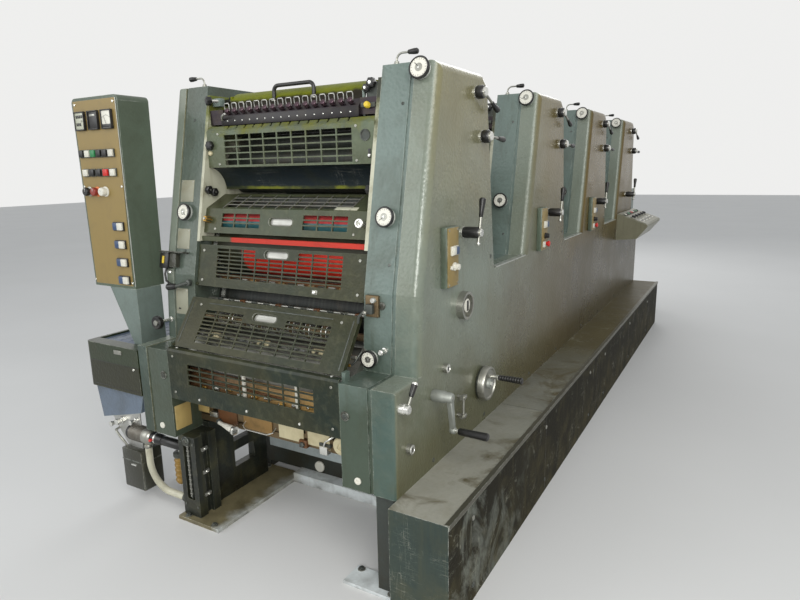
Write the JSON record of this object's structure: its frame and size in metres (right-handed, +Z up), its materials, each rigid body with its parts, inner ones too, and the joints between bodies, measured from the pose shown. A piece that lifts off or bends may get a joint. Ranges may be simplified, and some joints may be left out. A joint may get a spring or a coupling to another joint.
{
  "type": "offset printing press",
  "caption": "Sheet-fed offset press: a row of printing towers with barred guards, delivery end, control console, side step and feeder.",
  "frame": {"origin": "on the floor, midway between the side frames, under the front floor beam", "axes": "+Y from the delivery to the feeder, +X to the operator's side, +Z up"},
  "size_m": [1.7795, 5.194, 1.796],
  "materials": {
    "base_paint": "matt, oily dirt",
    "floor_paint": "matt, scuffed",
    "frame_paint": "hammered, satin",
    "cover_paint": "hammered, satin",
    "housing_paint": "hammered, satin",
    "guard_paint": "satin, stained",
    "splash_paint": "satin, scratched",
    "trim_metal": "worn bright",
    "step_metal": "worn, oily",
    "side_paint": "satin",
    "plate_red": "glossy",
    "bar_red": "satin",
    "blanket_rubber": "matt",
    "drum_steel": "bright",
    "roller_rubber": "inked",
    "duct_metal": "dark, inked",
    "key_steel": "satin",
    "lid_paint": "satin, stained",
    "black_grip": "satin",
    "delivery_metal": "oily",
    "column_paint": "stained black",
    "pump_metal": "satin",
    "hose_plastic": "corrugated",
    "panel_beige": "satin",
    "control_plastic": "satin",
    "dial_plastic": "satin",
    "fitting_steel": "satin",
    "board_metal": "satin",
    "head_metal": "satin",
    "cast_metal": "cast, satin"
  },
  "bodies": {
    "press": {"base_frame": "base_paint", "floor_plates": "floor_paint", "operator_frame": "frame_paint", "drive_frame": "frame_paint", "operator_cover": "cover_paint", "drive_cover": "cover_paint", "edge_trims": "trim_metal", "cross_ties": "guard_paint", "drive_housing": "housing_paint", "step_platform": "step_metal", "side_plates": "side_paint", "plate_cylinders": "plate_red", "blanket_cylinders": "blanket_rubber", "sheet_drums": "drum_steel", "ink_rollers": "roller_rubber", "ink_ducts": "duct_metal", "ink_keys": "key_steel", "duct_covers": "lid_paint", "duct_levers": "black_grip", "upper_guard": "guard_paint", "splash_sheet": "splash_paint", "middle_guard": "guard_paint", "red_bar": "bar_red", "delivery_hood": "guard_paint", "inner_guards": "guard_paint", "rear_guards": "guard_paint", "delivery_bars": "delivery_metal", "lift_column": "column_paint", "pump_unit": "pump_metal", "drain_hose": "hose_plastic", "console_box": "housing_paint", "console_panel": "panel_beige", "console_controls": "control_plastic", "console_pedestal": "housing_paint", "dials": "dial_plastic", "switch_pods": "panel_beige", "operator_fittings": "fitting_steel", "feeder_desk": "housing_paint", "feeder_frame": "frame_paint", "feeder_boards": "board_metal", "suction_head": "head_metal"},
    "throw_lever_1": {"throw_lever_1": "black_grip"},
    "throw_lever_2": {"throw_lever_2": "black_grip"},
    "throw_lever_3": {"throw_lever_3": "black_grip"},
    "throw_lever_4": {"throw_lever_4": "black_grip"},
    "upper_lever_1": {"upper_lever_1": "black_grip"},
    "upper_lever_2": {"upper_lever_2": "black_grip"},
    "upper_lever_3": {"upper_lever_3": "black_grip"},
    "upper_lever_4": {"upper_lever_4": "black_grip"},
    "lower_lever_1": {"lower_lever_1": "black_grip"},
    "lower_lever_2": {"lower_lever_2": "black_grip"},
    "lower_lever_3": {"lower_lever_3": "black_grip"},
    "lower_lever_4": {"lower_lever_4": "black_grip"},
    "crank": {"crank": "cast_metal"},
    "handwheel": {"handwheel": "cast_metal"},
    "front_lever": {"front_lever": "cast_metal"},
    "plate_guard": {"plate_guard": "guard_paint"},
    "lower_guard": {"lower_guard": "guard_paint"}
  },
  "joints": [
    {"name": "throw_lever_1_turn", "type": "hinge", "parent": "press", "child": "throw_lever_1", "pos_m": [0.6215, 0.005, 1.183], "axis": [1, 0, 0], "range_deg": [-30, 60]},
    {"name": "throw_lever_2_turn", "type": "hinge", "parent": "press", "child": "throw_lever_2", "pos_m": [0.6215, 1.06, 1.183], "axis": [1, 0, 0], "range_deg": [-30, 60]},
    {"name": "throw_lever_3_turn", "type": "hinge", "parent": "press", "child": "throw_lever_3", "pos_m": [0.6215, 2.115, 1.183], "axis": [1, 0, 0], "range_deg": [-30, 60]},
    {"name": "throw_lever_4_turn", "type": "hinge", "parent": "press", "child": "throw_lever_4", "pos_m": [0.6215, 3.17, 1.183], "axis": [1, 0, 0], "range_deg": [-30, 60]},
    {"name": "upper_lever_1_turn", "type": "hinge", "parent": "press", "child": "upper_lever_1", "pos_m": [0.6215, 0.117, 1.675], "axis": [1, 0, 0], "range_deg": [-20, 30]},
    {"name": "upper_lever_2_turn", "type": "hinge", "parent": "press", "child": "upper_lever_2", "pos_m": [0.6215, 1.172, 1.675], "axis": [1, 0, 0], "range_deg": [-20, 30]},
    {"name": "upper_lever_3_turn", "type": "hinge", "parent": "press", "child": "upper_lever_3", "pos_m": [0.6215, 2.227, 1.675], "axis": [1, 0, 0], "range_deg": [-20, 30]},
    {"name": "upper_lever_4_turn", "type": "hinge", "parent": "press", "child": "upper_lever_4", "pos_m": [0.6215, 3.282, 1.675], "axis": [1, 0, 0], "range_deg": [-20, 30]},
    {"name": "lower_lever_1_turn", "type": "hinge", "parent": "press", "child": "lower_lever_1", "pos_m": [0.6215, 0.175, 1.523], "axis": [1, 0, 0], "range_deg": [-30, 25]},
    {"name": "lower_lever_2_turn", "type": "hinge", "parent": "press", "child": "lower_lever_2", "pos_m": [0.6215, 1.23, 1.523], "axis": [1, 0, 0], "range_deg": [-30, 25]},
    {"name": "lower_lever_3_turn", "type": "hinge", "parent": "press", "child": "lower_lever_3", "pos_m": [0.6215, 2.285, 1.523], "axis": [1, 0, 0], "range_deg": [-30, 25]},
    {"name": "lower_lever_4_turn", "type": "hinge", "parent": "press", "child": "lower_lever_4", "pos_m": [0.6215, 3.34, 1.523], "axis": [1, 0, 0], "range_deg": [-30, 25]},
    {"name": "crank_turn", "type": "hinge", "parent": "press", "child": "crank", "pos_m": [0.6215, -0.242, 0.645], "axis": [1, 0, 0], "continuous": true},
    {"name": "handwheel_turn", "type": "hinge", "parent": "press", "child": "handwheel", "pos_m": [0.6215, 0.19, 0.552], "axis": [1, 0, 0], "continuous": true},
    {"name": "front_lever_turn", "type": "hinge", "parent": "press", "child": "front_lever", "pos_m": [0.6215, -0.467, 0.676], "axis": [1, 0, 0], "range_deg": [-40, 60]},
    {"name": "plate_guard_turn", "type": "hinge", "parent": "press", "child": "plate_guard", "pos_m": [0, -0.32244, 0.972], "axis": [1, 0, 0], "range_deg": [0, 95]},
    {"name": "lower_guard_turn", "type": "hinge", "parent": "press", "child": "lower_guard", "pos_m": [0, -0.466, 0.753], "axis": [1, 0, 0], "range_deg": [0, 110]}
  ]
}
